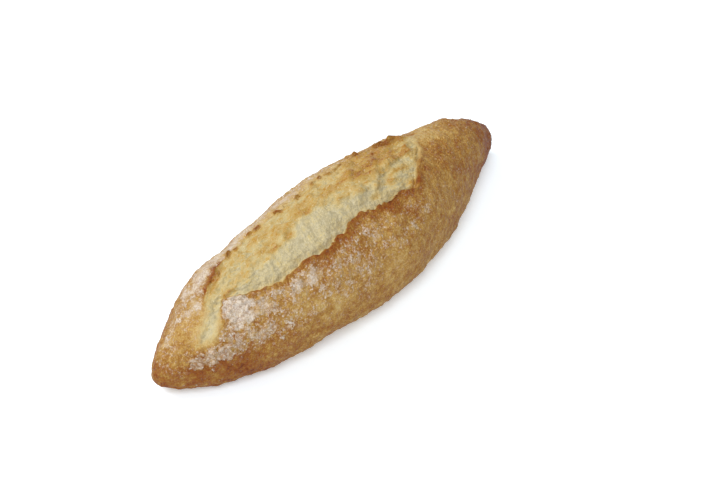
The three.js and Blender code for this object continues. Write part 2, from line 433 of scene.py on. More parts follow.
# grid over the body: rows from the far tip to the near one, columns round it
def loafGrid():
    share = np.linspace(0, 1, body["rows"] + 1)
    x = mix(1 - 2 * share, np.cos(np.pi * share), body["tipRows"]) * loafSize.x / 2
    section = {key: value[:, None] for key, value in sectionAt(x).items()}
    frontEdge, backEdge = (edge[:, None] for edge in tornEdges(x))
    angle = columnAngles(section, x[:, None], frontEdge, backEdge)
    x = x[:, None] + 0 * angle
    y, z, outY, outZ = bodyPlace(section, angle)
    fromFront = edgeDistance(y - frontEdge, frontLine, x)
    fromBack = edgeDistance(backEdge - y, backLine, x)
    byFront = fromFront < fromBack
    isRoof = np.sin(angle) > 0
    pastEnds = np.maximum(np.maximum(slash["ends"][0] - x, x - slash["ends"][1]), 0)
    inside = np.where(isRoof, np.minimum(fromFront, fromBack), -40)  # well outside below the roof
    inside = np.where(pastEnds > 0, np.minimum(inside, -pastEnds), inside)
    crust = lipRelief(x, inside, byFront, pastEnds)
    plainFront = edgeDistance(y - slash["frontLip"](x), slash["frontLip"], x)
    plainBack = edgeDistance(slash["backLip"](x) - y, slash["backLip"], x)
    wall = mix(slash["runOut"]["wall"], slash["wall"], openedAt(x))
    wall = wall + slash["flapLean"] * np.where(byFront, 0, flapWallAt(x))
    stray, straySize = crumb["tornWander"]
    tornY = y + stray * lumpsAt(np.stack([x, y, z], -1), straySize, 3, 9)
    torn = mix(crust, crumbRelief(x, y, tornY, plainFront, plainBack), smooth(inside, 0, wall))
    roof = np.where(inside > 0, torn, crust) * isRoof
    relief = (roof + swellAt(x, angle)) * section["cap"]
    return {
        "places": np.stack([x, y + outY * relief, z + outZ * relief], -1),
        "angle": angle,
        "inside": inside,
        "fromFront": fromFront,
        "fromBack": fromBack,
        "byFront": byFront,
        "tornY": tornY,
    }


# outward directions of a closed grid
def outwardOf(places):
    alongRows = np.gradient(places, axis=0)
    around = np.roll(places, -1, 1) - np.roll(places, 1, 1)
    out = np.cross(around, -alongRows)
    out[0] = (1, 0, 0)
    out[-1] = (-1, 0, 0)
    return out / np.maximum(np.linalg.norm(out, axis=-1, keepdims=True), 1e-12)


# flour: where it was dusted on, as spots (x, y, reach along, reach around, strength)
flour = {
    "spots": [
        (-51.6, -8.6, 3, 3, 0.2), (-48.1, -10.3, 3, 2.6, 0.4), (-43.7, -9.6, 3.6, 2.4, 0.5),
        (-39.8, -11.2, 3, 2.2, 0.35), (-34, -12.2, 3.4, 2.4, 0.62), (-31, -13, 3, 2.4, 0.4),
        (-27.2, -14.6, 3.2, 2.6, 0.45), (-21, -15, 4, 2.4, 0.2), (-56, -12.8, 5, 3.4, 0.45),
        (-50.6, -14.6, 4, 3, 0.45), (-43.6, -16.5, 5, 3.4, 0.14), (-58.5, -8.5, 3.5, 3, 0.4),
        (-11.7, -13.8, 2.4, 1.8, 0.5), (-12.5, -17.7, 2.4, 2, 0.4), (-17, -19, 5, 4, 0.2),
        (0.3, -17.4, 2.6, 2.2, 0.5), (6.8, -16.4, 3, 2.2, 0.5), (13.6, -20.4, 2.8, 2.2, 0.45),
        (17, -15.4, 2.8, 2, 0.4), (22.4, -17.8, 3, 2.2, 0.4), (4, -22, 3, 2.4, 0.25),
        (-61.1, 6.2, 1.8, 1.6, 0.85), (-64.7, 6.2, 1.5, 1.3, 0.8), (-74.4, 6.7, 2, 1.8, 0.6),
        (-71, 8, 4, 3, 0.25), (-77.5, 2.5, 4, 5, 0.22), (-75, 5, 6, 6, 0.16), (-51, 11.4, 5.5, 3, 0.95),
        (-63, 9.5, 6, 5, 0.35), (-43, 14.6, 6, 3, 0.7), (-33.3, 16.6, 7, 2.6, 0.65),
        (-24.3, 17, 7, 2.6, 0.65), (-13, 17.2, 8, 2.6, 0.55), (-2, 17.4, 8, 2.6, 0.5),
        (11.5, 16.4, 8, 2.4, 0.4), (-58, 13, 3, 4, 0.4),
    ],
    "spotDepth": 0.62,
    # patches where it caked, as (x, y, reach along, reach around, depth)
    "cakes": [
        (-53.6, -5.2, 5.4, 6, 0.92), (-71.4, -4.2, 2.6, 2.8, 0.62), (-67.6, -6.6, 3, 3.4, 0.64),
        (-63.4, -9, 3.2, 3.2, 0.66), (-59.6, -11.4, 3, 2.6, 0.58), (-61, -7, 2.8, 2.6, 0.52),
        (-46.5, -10.2, 3.6, 3, 0.62), (-45, 14, 9, 3.6, 0.7), (-32, 17, 9, 3.6, 0.66),
        (-18, 18, 9, 3.6, 0.6), (-2, 18.4, 10, 3.2, 0.5),
    ],
    "cakeRagged": (0.14, 2.2),  # how ragged, in lumps of this size
    "cakeEdge": (0.25, 0.5),
    "cakeFrom": (0.35, 0.7),  # depths between which a cake rises
    "cakeRise": 0.38,
    "backCakeRise": 0.15,  # share of that on the back, which stays smooth
    "cakeSwell": (0.6, 0.7),  # how much of that is even, and how much is crinkled
    "crinkleSize": (2.4, 1.7, 1.7),
    "crinkleLean": 0.6,
    "haze": (0.34, 0.11, -20, 20),  # thin dust over the upper flank, less in the far half
    "hazeHeights": (9, 26),
    "bareFlank": 0.5,  # share of the haze that the smooth near flank lacks
    "clustering": (0.1, 3.2),  # how much it gathers, in clusters of this size
    "clusterFull": 0.3,
    "most": 1.1,
    # bare crust along the front lip: change in mm, from x, to x
    "bareFront": [(1.9, -49, -40), (1.7, -34, -10), (-2.4, 4, 18)],
    "bareBack": (0.3, 1.6),  # along the slash and along the furrow
    "bareFlap": 1.4,
    "pastLip": 0.15,  # how far it reaches over the lips
}


# place on the plain roof seen from above at (x, y)
def roofSpot(x, y):
    section = sectionAt(np.array([float(x)]))
    spotY, spotZ = bodyPlace(section, roofAngle(section, y))[:2]
    return np.array([x, spotY[0], spotZ[0]])


# how near the places are to a spot on the roof, from 1 there to 0
def nearSpot(places, spot):
    x, y, reachAlong, reachAround = spot
    off = places - roofSpot(x, y)
    far = (off[..., 0] / reachAlong) ** 2 + (off[..., 1] ** 2 + off[..., 2] ** 2) / reachAround ** 2
    return np.exp(-far)


# 1 on the smooth flank behind the furrow, 0 elsewhere
def nearFlankAt(places, grid):
    behind = smooth(grid["fromFront"] - grid["fromBack"], *body["flankEdge"])
    return behind * spotChange(places, body["nearFlank"])


def flourAt(places, grid):
    x, z = places[..., 0], places[..., 2]
    depth = alongLoaf(x, flour["haze"]) * smooth(z, *flour["hazeHeights"])
    depth = depth * (1 - flour["bareFlank"] * nearFlankAt(places, grid))
    for spot in flour["spots"]:
        depth = depth + flour["spotDepth"] * spot[4] * nearSpot(places, spot[:4])
    amount, size = flour["clustering"]
    depth = depth + amount * lumpsAt(places, size, 2, 41) * smooth(depth, 0, flour["clusterFull"])
    amount, size = flour["cakeRagged"]
    ragged = amount * lumpsAt(places, size, 3, 42)
    for cake in flour["cakes"]:
        covers = smooth(nearSpot(places, cake[:4]) + ragged, *flour["cakeEdge"])
        depth = np.maximum(depth, cake[4] * covers)
    bareFront = sum(change * smooth(x, start, end) for change, start, end in flour["bareFront"])
    bare = mix(*flour["bareBack"], furrowAt(x))
    bare = bare + np.where(grid["byFront"], bareFront, flour["bareFlap"] * flapWallAt(x))
    onCrust = 1 - smooth(grid["inside"], -bare, flour["pastLip"]) * bareCrumbAt(x)
    return np.clip(depth, 0, flour["most"]) * onCrust


# crust: how far each place is baked, 0 straw, 0.5 golden brown, 1 dark
crustBake = {
    "plain": 0.455,
    "tips": 0.12,  # browner towards both tips
    "tipsFrom": (20, 76),  # distances from the middle
    "middleX": 4,
    "farTip": (0, 0.3, 62, 79),
    "low": 0.22,  # browner low on the flank
    "lowShare": (1, 0.32, -65, -25),  # most of all near the tip
    "lowHeights": (8, 26),
    "lip": 0.25,  # the dark band under the front lip
    "lipRuns": (-52, -40, 33, 38),
    "lipEar": (-44, -8, 33, 40),  # stretch where it is wide and full
    "lipReach": (1.4, 4.2),  # off that stretch and on it
    "leastReach": 0.3,
    "lipShare": (0.35, 1),
    "lipWeaker": (1, 0.5, 17, 27),
    "lipUneven": (0.25, 3),  # by this share, in lumps of this size
    "lipGlow": (0.2, 8),  # a faint wider band: share and reach
    "backLip": 0.18,
    "backReach": (0.5, 1.5),  # on a flake and on the near flap
    "flapWall": 0.6,  # how much browner the near flap and the far flake are
    "farFlake": (0, 3, 35, 40),
    "backShoulder": -0.34,  # straw-coloured behind the back lip
    "shoulderRuns": (-46, -38, 10, 24),
    "shoulderReach": 4,
    "furrowSide": -0.42,
    "furrowStart": (-75, -67),  # behind the furrow
    "furrowReach": (1, 3.6),  # in front of the furrow and behind it
    "nearFlank": -0.2,
    "corner": (26.2, -10.8, 2, 1.8, 0.34),  # where the front lip ends: x, y, reach along and across, change
    "farEnd": (50, 6.5, 9, 6, -0.4),  # the pale shoulder behind the slash
    "farEndHeights": (20, 28),
    "patches": [(0.04, 11, 21), (0.036, 3.4, 22)],  # uneven baking: amount, size, seed
    "lumpRise": 0.15,
    "lumpSize": 8,
    "wrinkleRise": 0.08,
    "wrinkleSizes": (1.5, 3),
    "flapRise": 0.45,  # the floury flap behind the slash ends in a step
    "flapEnd": -59.6,
    "flapLength": 7,
    "flapRagged": (0.3, 3),  # how ragged, in lumps of this size
    "flapSoft": 0.3,
    "flapInset": 1.5,  # how far behind the lip it is full
    "flapTurn": (0.1, 0.4),  # it fades down the back
}


# the dark band under the front lip
def frontBandAt(places, outside):
    x = places[..., 0]
    ear = stretchAt(x, crustBake["lipEar"])
    uneven, size = crustBake["lipUneven"]
    reach = mix(*crustBake["lipReach"], ear) * (1 + uneven * lumpsAt(places, size, 2, 23))
    band = np.exp(-((outside / np.maximum(reach, crustBake["leastReach"])) ** 2))
    glow, glowReach = crustBake["lipGlow"]
    band = band + glow * ear * np.exp(-outside / glowReach)
    strength = stretchAt(x, crustBake["lipRuns"]) * mix(*crustBake["lipShare"], ear)
    return crustBake["lip"] * strength * alongLoaf(x, crustBake["lipWeaker"]) * band


# browned flakes of the back lip, and the straw-coloured crust behind it
def backBandAt(places, outside):
    x = places[..., 0]
    reach = mix(*crustBake["backReach"], flapWallAt(x))
    browned = 1 + crustBake["flapWall"] * flapWallAt(x) + alongLoaf(x, crustBake["farFlake"])
    flakes = crustBake["backLip"] * browned * flakyAt(x) * np.exp(-((outside / reach) ** 2))
    runs = stretchAt(x, crustBake["shoulderRuns"])
    shoulder = crustBake["backShoulder"] * runs * np.exp(-((outside / crustBake["shoulderReach"]) ** 2))
    return flakes + shoulder * (1 - flakyAt(x) * np.exp(-outside))


# the pale crust on both sides of the furrow
def furrowSideAt(places, outside, byFront):
    x = places[..., 0]
    runs = np.where(byFront, bareCrumbAt(x), smooth(x, *crustBake["furrowStart"]))
    inFront, behind = crustBake["furrowReach"]
    reach = np.where(byFront, inFront, behind)
    return crustBake["furrowSide"] * furrowAt(x) * runs * np.exp(-outside / reach)


def crustBakeAt(places, grid):
    x, z = places[..., 0], places[..., 2]
    outside = np.maximum(-grid["inside"], 0)
    fromMiddle = np.abs(x - crustBake["middleX"])
    bake = crustBake["plain"] + crustBake["tips"] * smooth(fromMiddle, *crustBake["tipsFrom"])
    bake = bake + alongLoaf(x, crustBake["farTip"])
    bake = bake + crustBake["nearFlank"] * nearFlankAt(places, grid)
    low = (1 - smooth(z, *crustBake["lowHeights"])) * alongLoaf(x, crustBake["lowShare"])
    bake = bake + crustBake["low"] * low
    bands = np.where(grid["byFront"], frontBandAt(places, outside), backBandAt(places, outside))
    bake = bake + bands * openedAt(x) + furrowSideAt(places, outside, grid["byFront"])
    bake = bake + spotChange(places, crustBake["corner"])
    bake = bake + spotChange(places, crustBake["farEnd"]) * smooth(z, *crustBake["farEndHeights"])
    for amount, size, seed in crustBake["patches"]:
        bake = bake + amount * lumpsAt(places, size, 2, seed)
    return bake


# how high the end of the back flap stands over the crust before it
def flapStep(places, grid):
    ragged, size = crustBake["flapRagged"]
    past = places[..., 0] - crustBake["flapEnd"] - ragged * lumpsAt(places, size, 2, 24)
    behind = np.where(grid["byFront"], 0, smooth(-grid["inside"], 0, crustBake["flapInset"]))
    behind = behind * smooth(np.sin(grid["angle"]), *crustBake["flapTurn"])
    step = smooth(past, -crustBake["flapSoft"], crustBake["flapSoft"])
    dies = np.exp(-np.maximum(past, 0) / crustBake["flapLength"])
    return crustBake["flapRise"] * step * dies * behind


# toast: browned places of the crumb, as (x, y, reach along, reach across, strength)
toast = {
    "spots": [
        (-23.7, 0.7, 2, 1.3, 0.4), (-31.3, 2.4, 4, 1.6, 0.2), (-31.2, 0.8, 3, 1.2, 0.14),
        (-13, 2.7, 5.5, 1.2, 0.14), (-15.5, 5.8, 5, 1.4, 0.1), (-24, 5, 4, 1.4, 0.12),
        (0.3, 5.4, 6, 2, 0.15), (6.4, 3.6, 5, 1.8, 0.12), (14.5, 3.2, 5, 1.8, 0.16),
        (18.4, 2.3, 3.4, 1.4, 0.14), (23.8, 3.6, 4, 1.6, 0.15), (29.9, 4.6, 3, 1.5, 0.2),
        (31.4, 1.6, 2.2, 1.2, 0.25), (23.5, -3.6, 6, 1.3, 0.3), (19, -5.6, 2.6, 1.3, 0.44),
        (10.3, -7, 2, 1.4, 0.4), (25.9, -9.9, 2.2, 1.6, 0.5), (23.4, -11, 2.4, 1, 0.4),
        (-51.5, 1, 2.4, 1.7, 0.34), (-43, 2.5, 5, 3, 0.14), (22, 7.5, 12, 4, 0.16),
    ],
    "spotUneven": 0.3,
    "spotSize": (3.2, 1.7, 1.7),
    "plain": (0.06, 0.17, 8, 18),  # the pale crumb, in its near part and in the far one
    "skin": (0.29, 0.37, 4, 14),  # the golden skin of the upper part, near and far
    "skinNear": (0.5, 1, -46, -34),  # shares of that at both ends of the slash
    "skinFar": (1, 0.3, 33, 38),
    "skinEdge": curveThrough([
        (-56, -1), (-47, -0.6), (-38, -1.7), (-27, -0.8), (-21.7, 0.9), (-14, 2), (-8.4, 0), (-4.5, -1.6),
        (3, -3.2), (11, -3.2), (16, -2.6), (21, -1.2), (26, 0.5), (31, -0.2), (35, -2.5), (44.7, -2.5),
    ]),
    "skinRagged": (0.7, 0.3, 2, 12),
    "skinLumps": (5, 2.5, 2.5),
    "skinSoft": {"toast": 1.3, "pale": 1.4, "rise": 0.5},  # how softly it ends
    "skinRise": 0.35,
    "patchy": 0.05,
    "patchSize": (5, 3, 3),
    "most": 0.7,
    "furrow": (0.06, 0.1, 0.8),  # in the furrow, more at its sides, and how far from them
    "frontEdge": (0, 0.45, -50, -43),
    "frontEdgeReach": (0.9, 0.35, -34, -20),
    "backWall": 0.52,  # the wall of the back lip
    "flapWall": (1.2, 3),  # how far from the lip that of the near flap is brown
    "flakeWalls": (0.48, 0.75, 18, 26),  # share of it under the flakes, near and far
    "flakeReach": 1.5,
    "farFlake": (0, 1.5, 35, 40),  # and more under the long flake at the far end
    "crests": (0.04, 0.028, 0.024),  # folds, streaks and clots that stand up brown first
}


# how far a place lies up the crumb from the ragged edge of its golden skin
def pastSkinEdge(places, grid):
    x = places[..., 0]
    ragged = alongLoaf(x, toast["skinRagged"]) * lumpsAt(places, toast["skinLumps"], 4, 33)
    return grid["tornY"] + ragged - toast["skinEdge"](x)


# 1 on the golden skin of the crumb's upper part, 0 on the pale front that tore open last
def skinAt(places, grid, use):
    soft = toast["skinSoft"][use]
    return smooth(pastSkinEdge(places, grid), -soft, soft)


# the broken crease under the skin, from 1 there to 0: a groove in the relief, and painted shade in the
# finish
def creaseAt(places, grid):
    x = places[..., 0]
    broken = smooth(lumpsAt(places, crumb["creaseSize"], 2, 19), *crumb["creaseGaps"])
    line = hump(pastSkinEdge(places, grid), -crumb["creaseBelow"], crumb["creaseReach"])
    return stretchAt(x, crumb["creased"]) * broken * line


# the browned edges of the crumb, under the front lip and along the wall of the back one
def crumbEdgesAt(x, grid):
    fromFront, fromBack = np.maximum(grid["fromFront"], 0), np.maximum(grid["fromBack"], 0)
    frontEdge = alongLoaf(x, toast["frontEdge"])
    frontEdge = frontEdge * np.exp(-fromFront / alongLoaf(x, toast["frontEdgeReach"]))
    flapWall = flapWallAt(x) * (1 - smooth(fromBack, *toast["flapWall"]))
    strength = alongLoaf(x, toast["flakeWalls"]) + alongLoaf(x, toast["farFlake"])
    flakeWalls = strength * flakyAt(x) * np.exp(-((fromBack / toast["flakeReach"]) ** 2))
    return (frontEdge + toast["backWall"] * np.maximum(flapWall, flakeWalls)) * openedAt(x)


def crumbToastAt(places, grid):
    x = places[..., 0]
    skin = skinAt(places, grid, "toast")
    skin = skin * alongLoaf(x, toast["skinNear"]) * alongLoaf(x, toast["skinFar"])
    bake = alongLoaf(x, toast["plain"]) + alongLoaf(x, toast["skin"]) * skin
    broken = 1 + toast["spotUneven"] * lumpsAt(places, toast["spotSize"], 3, 34)
    for spot in toast["spots"]:
        bake = bake + broken * spotChange(places, spot)
    bake = bake + toast["patchy"] * lumpsAt(places, toast["patchSize"], 3, 31) * skin
    bake = np.minimum(bake, toast["most"])
    middle, sides, reach = toast["furrow"]
    furrowBake = middle + sides * np.exp(-np.maximum(grid["inside"], 0) / reach)
    return mix(bake, furrowBake, furrowAt(x)) + crumbEdgesAt(x, grid)


grid = loafGrid()
places = grid["places"]
print("loaf: form of %d rows, %d columns" % places.shape[:2])

# where crust, crumb and flour show
outward = outwardOf(places)
x, y, z = np.moveaxis(places, -1, 0)
runOut = slash["runOut"]
soft = runOut["nearSoft"] * furrowAt(x) + alongLoaf(x, runOut["farSoft"])
edgeStart, edgeEnd = slash["crumbEdge"]
isCrumb = smooth(grid["inside"], edgeStart - soft, edgeEnd + soft) * bareCrumbAt(x)
flourDepth = flourAt(places, grid)
pale = 1 - skinAt(places, grid, "pale")
drawn = crumb["drawn"] * pale * (1 - smooth(x, *crumb["drawnEnd"]))
crease = creaseAt(places, grid)

# fine relief of the crumb: folds, streaks and clots, strands on its pale front, the edge of its skin
stray, straySize = crumb["strandWander"]
strandX = x - crumb["lean"] * y + stray * lumpsAt(places, straySize, 2, 25)
strands = lumpsAt(np.stack([strandX, y, 0 * z], -1), crumb["strandSize"], 3, 11)
folds = lumpsAt(places, crumb["foldSize"], 3, 20)
streaks = lumpsAt(places, crumb["streakSize"], 3, 12)
clots = lumpsAt(places, crumb["clotSize"], 3, 13)
grains = lumpsAt(places, crumb["grainSize"], 2, 14)
torn = (crumb["foldRise"] * folds + crumb["streakRise"] * streaks) * mix(1, crumb["paleFolds"], pale)
crumbRise = mix(torn, crumb["strandRise"] * strands, drawn)
crumbRise = crumbRise + crumb["clotRise"] * clots + crumb["grainRise"] * grains
crumbRise = crumbRise + toast["skinRise"] * skinAt(places, grid, "rise") * openedAt(x)
crumbRise = crumbRise - crumb["creaseDrop"] * crease
crumbRise = crumbRise * smooth(grid["inside"], *crumb["reliefFrom"])

# fine relief of the crust: lumps, wrinkles, crinkled cakes of flour and the step of the flap
fineWrinkle, wideWrinkle = crustBake["wrinkleSizes"]
wrinkles = lumpsAt(places, fineWrinkle, 3, 17) + lumpsAt(places, wideWrinkle, 2, 18)
lumps = lumpsAt(places, crustBake["lumpSize"], 2, 16)
cake = smooth(flourDepth, *flour["cakeFrom"]) * np.where(grid["byFront"], 1, flour["backCakeRise"])
crinkles = creasesAt(np.stack([x + flour["crinkleLean"] * y, y, z], -1), flour["crinkleSize"], 2, 15)
even, crinkled = flour["cakeSwell"]
crustRise = crustBake["lumpRise"] * lumps + crustBake["wrinkleRise"] * wrinkles
crustRise = crustRise + flour["cakeRise"] * cake * (even + crinkled * crinkles)
crustRise = crustRise + flapStep(places, grid)

rise = mix(crustRise, crumbRise, isCrumb)
foldCrest, streakCrest, clotCrest = toast["crests"]
crests = (1 - pale) * (foldCrest * folds + streakCrest * streaks + clotCrest * clots)
bake = mix(crustBakeAt(places, grid), crumbToastAt(places, grid) + crests, isCrumb)
places = places + outward * (rise * smooth(z, *body["flatSole"]))[..., None]  # the sole stays flat
places[..., 2] = np.maximum(places[..., 2], 0)
middle = (places.min((0, 1)) + places.max((0, 1))) / 2
places[..., 1] += (loafLow.y + loafHigh.y) / 2 / mm - middle[1]
print("loaf: relief from %.2f to %.2f mm" % (rise.min(), rise.max()))


# flat map of the grid, face by face, with its seam under the sole
def gridMap(rows, columns):
    u, v = np.arange(columns) / columns, 1 - np.arange(rows) / (rows - 1)
    nextU = u + 1 / columns
    spots = []
    for a in range(columns):
        spots += [((a + 0.5) / columns, 1), (nextU[a], v[1]), (u[a], v[1])]
    wide = np.stack([u, nextU, nextU, u], -1)
    for r in range(1, rows - 2):
        high = np.array([v[r], v[r], v[r + 1], v[r + 1]])
        spots += np.stack([wide, high + 0 * wide], -1).reshape(-1, 2).tolist()
    for a in range(columns):
        spots += [((a + 0.5) / columns, 0), (u[a], v[-2]), (nextU[a], v[-2])]
    return np.array(spots, np.float32)


# one closed mesh: every row is a ring, and each tip is one point
def closedMesh(name, places, fields, vectors):
    rows, columns = places.shape[:2]

    def inOrder(values):
        rings = values[1:-1].reshape((-1,) + values.shape[2:])
        return np.concatenate([values[0, :1], rings, values[-1, :1]])

    points = inOrder(places) * mm
    ring = 1 + np.arange(rows - 2)[:, None] * columns + np.arange(columns)
    nextRing = np.roll(ring, -1, 1)
    quads = np.stack([ring[:-1], nextRing[:-1], nextRing[1:], ring[1:]], -1).reshape(-1, 4)
    farFan = [(0, int(b), int(a)) for a, b in zip(ring[0], nextRing[0])]
    nearFan = [(len(points) - 1, int(a), int(b)) for a, b in zip(ring[-1], nextRing[-1])]
    mesh = bpy.data.meshes.new(name)
    mesh.from_pydata(points.tolist(), [], farFan + quads.tolist() + nearFan)
    for field, values in fields.items():
        layer = mesh.attributes.new(field, "FLOAT", "POINT")
        layer.data.foreach_set("value", inOrder(values).astype(np.float32))
    for field, values in vectors.items():
        layer = mesh.attributes.new(field, "FLOAT_VECTOR", "POINT")
        layer.data.foreach_set("vector", inOrder(values).astype(np.float32).ravel())
    layer = mesh.uv_layers.new(name="OFBake")
    layer.data.foreach_set("uv", gridMap(rows, columns).ravel())
    mesh.validate()
    mesh.shade_smooth()
    return mesh


fields = {"bake": bake, "crumb": isCrumb, "flour": flourDepth, "drawn": drawn, "crease": crease * isCrumb}
strandWide, strandLong = crumb["strandGrain"]
strandWay = np.stack([strandX / strandWide, y / strandLong, places[..., 2] / strandLong], -1)
loafMesh = closedMesh("bakedLoaf", places, fields, {"strand": strandWay})
bakedLoaf = bpy.data.objects.new("bakedLoaf", loafMesh)
bpy.context.scene.collection.objects.link(bakedLoaf)
print("loaf: mesh of %d faces" % len(loafMesh.polygons))


# small tools for finishes

def fromPicture(colour):
    shares = [v / 255 for v in colour]
    return [c / 12.92 if c < 0.0404 else ((c + 0.055) / 1.055) ** 2.4 for c in shares] + [1]


def addNode(tree, kind, inputs=None, **settings):
    node = tree.nodes.new("ShaderNode" + kind)
    for name, value in settings.items():
        setattr(node, name, value)
    for name, value in (inputs or {}).items():
        if isinstance(value, bpy.types.NodeSocket):
            tree.links.new(value, node.inputs[name])
        else:
            node.inputs[name].default_value = value
    return node


def calc(tree, operation, a, b):
    return addNode(tree, "Math", {0: a, 1: b}, operation=operation).outputs[0]


def sumOf(tree, *levels):
    total = levels[0]
    for level in levels[1:]:
        total = calc(tree, "ADD", total, level)
    return total


# how far noise is from the middle of its range, so that 0 draws a thin line
def offMiddle(tree, value, middle):
    return calc(tree, "ABSOLUTE", calc(tree, "SUBTRACT", value, middle), 0.0)


def field(tree, name, output="Fac"):
    return addNode(tree, "Attribute", attribute_name=name).outputs[output]


# noise as a swing of this much to either side of 0
def swing(tree, value, amount):
    span = {"Value": value, "From Min": 0.25, "From Max": 0.75, "To Min": -amount, "To Max": amount}
    return addNode(tree, "MapRange", span, clamp=False).outputs[0]


def mask(tree, value, start, end, most=1.0):
    span = {"Value": value, "From Min": start, "From Max": end, "To Min": 0, "To Max": most}
    return addNode(tree, "MapRange", span, interpolation_type="SMOOTHSTEP").outputs[0]


# from one value to another as a level goes from 0 to full
def fade(tree, level, start, end, full=1.0):
    span = {"Value": level, "From Max": full, "To Min": start, "To Max": end}
    return addNode(tree, "MapRange", span).outputs[0]


def grainNoise(tree, where, scale, detail=3, roughness=0.6):
    inputs = {"Vector": where, "Scale": scale, "Detail": detail, "Roughness": roughness}
    return addNode(tree, "TexNoise", inputs).outputs[0]


def longNoise(tree, where, scales, detail, roughness):
    way = addNode(tree, "Mapping", {"Vector": where, "Scale": scales}).outputs[0]
    return grainNoise(tree, way, 1.0, detail, roughness)


def colourRamp(tree, value, stops):
    node = addNode(tree, "ValToRGB", {0: value})
    ramp = node.color_ramp
    for i, (place, colour) in enumerate(stops):
        stop = ramp.elements[i] if i < 2 else ramp.elements.new(place)
        stop.position = place
        stop.color = fromPicture(colour)
    return node.outputs[0]


def blendColours(tree, share, a, b, blend="MIX"):
    node = addNode(tree, "Mix", {0: share}, data_type="RGBA", blend_type=blend)
    for socket, value in ((node.inputs[6], a), (node.inputs[7], b)):
        if isinstance(value, bpy.types.NodeSocket):
            tree.links.new(value, socket)
        else:
            socket.default_value = value
    return node.outputs[2]


# bread: colours from straw to dark for the crust and from cream to toasted for the crumb,
# the first and the last stop given first
bread = {
    "crustColours": [
        (0.0, (191, 167, 112)), (1.0, (106, 52, 19)), (0.28, (174, 136, 72)), (0.5, (152, 108, 47)),
        (0.68, (138, 87, 33)), (0.84, (132, 70, 25)),
    ],
    "crumbColours": [
        (0.0, (178, 169, 139)), (1.0, (112, 58, 20)), (0.2, (193, 177, 129)), (0.42, (182, 153, 89)),
        (0.62, (173, 134, 61)), (0.84, (153, 101, 42)),
    ],
    "flourColours": [(0.0, (206, 172, 120)), (1.0, (218, 209, 198)), (0.5, (207, 186, 156))],
    "crustSwings": {"fine": 0.22, "mottle": 0.26, "pebble": 0.07},  # how unevenly each baked
    "crumbSwings": {"blotch": 0.18, "fibre": 0.26, "fine": 0.1},
    "flourSwings": {"pebble": 0.18, "fine": 0.3, "mottle": 0.12},
    "speckColour": (210, 176, 120),
    "speckMost": (0.16, 0.6, 0.3),  # on bare crust, in dust, and how much flour counts as that
    "speckBake": (0.8, 0.58),  # none where it is darker
    "speckGrit": (0.52, 0.72),  # levels of the grit between which they show
    # painted shade in the crease under the crumb's skin
    "creaseShadeColour": (140, 112, 66),
    "creaseShadeMost": 0.32,
    "creaseShadeLevels": (0.1, 0.9),
    "crumbShade": (0.87, 0.82, 0.72),  # painted shade in its dips
    # painted light on its crests
    "crumbLight": (1.02, 1.02, 1.02),
    "lightLevels": (1.05, 1.95),
    "sparkleColour": (226, 218, 192),  # bright specks of the crumb, partly grains and partly painted glints, and its pale threads
    "sparkleMost": 0.35,
    "sparkleGrit": (0.62, 0.76),
    "threadMost": 0.22,
    "threadAt": 0.52,  # level of the fibres along which a thread runs
    "threadWidth": 0.035,
    "drawnBlotches": 0.6,  # share of the blotches left where the crumb is drawn into strands
    "flourMost": 0.86,
    "flourCover": (0.22, 0.86),  # levels from which it shows and is full
    "caked": (0.25, 0.5),  # depths from which it is caked, and thick
    "thick": (0.5, 0.75),
    "crackWidth": 0.05,
    "crackMost": (0.6, 0.54),  # cracks in thin cakes of flour and in thick ones
    "thickLoose": 0.2,  # share of the loose grain left on thick cakes
    "fineScale": 1900,
    "gritScale": 1500,
    "mottleScale": 420,
    "pebbleScale": 1300,
    "crinkleScales": (420, 760),
    "streakScale": (520, 1100, 1100),
    "blotchScale": (220, 420, 420),
    "roughness": (0.5, 0.95, 0.8),  # bare, under flour, and how much flour counts as that
    "shine": 0.1,
    "bump": (0.6, 0.4),  # on the crust and on the crumb
    "bumpDepth": 0.8 * mm,
    "crackBump": 0.5,
    "pebbleBump": -0.6,
}


# levels that crust, crumb and flour share
def breadGrain(tree):
    where = addNode(tree, "TexCoord").outputs["Object"]
    pebble = addNode(tree, "TexVoronoi", {"Vector": where, "Scale": bread["pebbleScale"]})
    return {
        "where": where,
        "bake": field(tree, "bake"),
        "flour": field(tree, "flour"),
        "fine": grainNoise(tree, where, bread["fineScale"], 2, 0.65),
        "mottle": grainNoise(tree, where, bread["mottleScale"]),
        "grit": grainNoise(tree, where, bread["gritScale"], 1, 0.5),
        "pebble": pebble.outputs["Color"],
        "pebbleEdge": pebble.outputs["Distance"],
    }


def swingsOf(tree, grain, amounts):
    return [swing(tree, grain[name], amount) for name, amount in amounts.items()]


# crust with pale specks, most of them in dust and none where it is dark
def crustColour(tree, grain):
    level = sumOf(tree, grain["bake"], *swingsOf(tree, grain, bread["crustSwings"]))
    colour = colourRamp(tree, level, bread["crustColours"])
    specks = fade(tree, grain["flour"], *bread["speckMost"])
    specks = calc(tree, "MULTIPLY", specks, mask(tree, grain["bake"], *bread["speckBake"]))
    specks = calc(tree, "MULTIPLY", specks, mask(tree, grain["grit"], *bread["speckGrit"]))
    return blendColours(tree, specks, colour, fromPicture(bread["speckColour"]))


